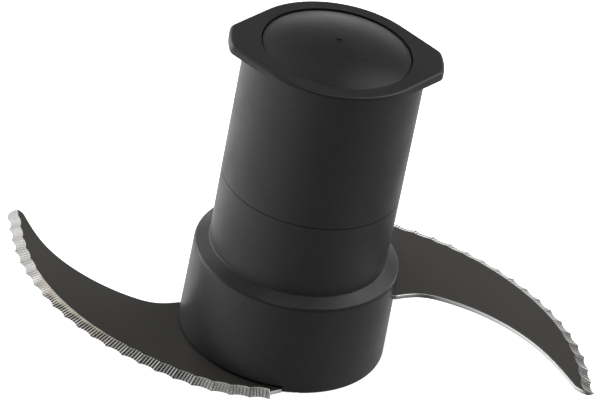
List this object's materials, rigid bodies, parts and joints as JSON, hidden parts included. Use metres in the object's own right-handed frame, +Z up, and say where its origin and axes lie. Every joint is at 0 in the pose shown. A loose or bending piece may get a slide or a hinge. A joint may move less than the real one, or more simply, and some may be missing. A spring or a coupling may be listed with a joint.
{
  "type": "food processor cutter blade",
  "caption": "Serrated S-shaped cutter for a food processor, with sickle blades on a moulded hub, a twist-off cap and a bore for the drive shaft.",
  "frame": {"origin": "on the shaft axis at the hub's bottom face, where the drive bore opens", "axes": "+Z up the shaft axis towards the cap; X roughly along the blades and, within 2 degrees, through the cap's finger ears"},
  "size_m": [0.168, 0.0828, 0.0994],
  "materials": {
    "black_plastic": "fine moulded grain",
    "dome_plastic": "satin",
    "blade_steel": "satin plate with bright ground bevel",
    "bushing_steel": "turned",
    "fastener_steel": "plain",
    "natural_acetal": "machined",
    "seal_rubber": "moulded"
  },
  "bodies": {
    "hub": {"hub_body": "black_plastic", "blade_spacer": "black_plastic", "lower_blade": "blade_steel", "upper_blade": "blade_steel", "blade_screws": "fastener_steel", "screw_washers": "fastener_steel", "clinch_nuts": "fastener_steel", "dowel_pins": "fastener_steel", "drive_bushing": "bushing_steel", "shaft_liner": "natural_acetal", "liner_clip": "fastener_steel", "shaft_seal": "seal_rubber", "spacer_seal": "seal_rubber", "spigot_seal": "seal_rubber", "core_seal": "seal_rubber"},
    "dome": {"cap_dome": "dome_plastic", "dome_seal": "seal_rubber", "top_bush": "natural_acetal", "bush_clip": "fastener_steel", "sleeve_keeper": "fastener_steel", "spring_washer": "fastener_steel"},
    "sleeve": {"cap_sleeve": "black_plastic"}
  },
  "joints": [
    {"name": "cap_lift", "type": "slide", "parent": "hub", "child": "dome", "axis": [0, 0, 1], "range_m": [0, 0.03]},
    {"name": "cap_turn", "type": "hinge", "parent": "dome", "child": "sleeve", "pos_m": [0, 0, 0.06], "axis": [0, 0, 1], "range_deg": [-30, 0]}
  ]
}
